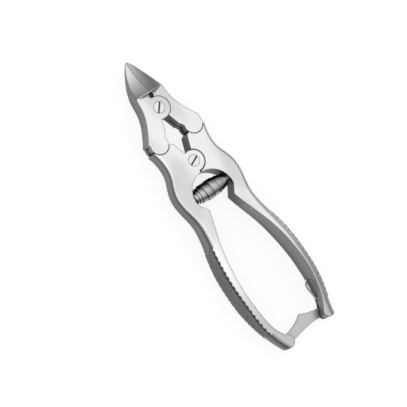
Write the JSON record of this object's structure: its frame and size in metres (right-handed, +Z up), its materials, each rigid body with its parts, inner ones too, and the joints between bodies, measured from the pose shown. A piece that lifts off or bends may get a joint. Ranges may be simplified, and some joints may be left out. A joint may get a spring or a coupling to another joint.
{
  "type": "nail clipper",
  "caption": "Double-action nail nipper with forked jaws on a four-link chain, bowed knurled handles, a barrel spring and a swinging clasp.",
  "frame": {"origin": "on the table, under the middle of the closed nipper's bounding box", "axes": "+Y to the tip of the jaws, +X to the right handle seen from above, +Z up from the table"},
  "size_m": [0.0449, 0.1606, 0.014],
  "materials": {
    "satin_steel": "satin, brushed lengthwise on the side walls",
    "screw_steel": "satin, turned",
    "pin_steel": "ground flush",
    "spring_steel": "polished strip",
    "clasp_steel": "satin sheet"
  },
  "bodies": {
    "right_handle_body": {"right_handle": "satin_steel", "handle_screw": "screw_steel", "right_spring_stud": "pin_steel", "barrel_spring": "spring_steel", "clasp_pin": "pin_steel", "clasp_leaf_spring": "spring_steel", "leaf_rivet": "pin_steel"},
    "left_handle_body": {"left_handle": "satin_steel", "left_spring_stud": "pin_steel", "catch_pin": "pin_steel"},
    "right_jaw_body": {"right_jaw": "satin_steel", "right_link_pin": "pin_steel", "jaw_screw": "screw_steel"},
    "left_jaw_body": {"left_jaw": "satin_steel", "left_link_pin": "pin_steel"},
    "clasp_body": {"clasp": "clasp_steel"}
  },
  "joints": [
    {"name": "handle_hinge", "type": "hinge", "parent": "right_handle_body", "child": "left_handle_body", "pos_m": [-0.0012, 0.02195, 0.007], "axis": [0, 0, -1], "range_deg": [0, 18], "stiffness_Nm_per_rad": 2, "springref_deg": 20.63, "deforming": ["barrel_spring"]},
    {"name": "right_link_hinge", "type": "hinge", "parent": "right_handle_body", "child": "right_jaw_body", "pos_m": [0.00945, 0.03745, 0.007], "axis": [0, 0, -1], "range_deg": [0, 18]},
    {"name": "left_link_hinge", "type": "hinge", "parent": "left_handle_body", "child": "left_jaw_body", "pos_m": [-0.01185, 0.03745, 0.007], "axis": [0, 0, 1], "range_deg": [0, 18]},
    {"name": "clasp_hinge", "type": "hinge", "parent": "right_handle_body", "child": "clasp_body", "pos_m": [0.0148, -0.07455, 0.00425], "axis": [0, 0, 1], "range_deg": [0, 95]}
  ],
  "couplings": [
    {"joint": "right_link_hinge", "follows": "handle_hinge", "ratio": 1},
    {"joint": "left_link_hinge", "follows": "handle_hinge", "ratio": 1}
  ]
}
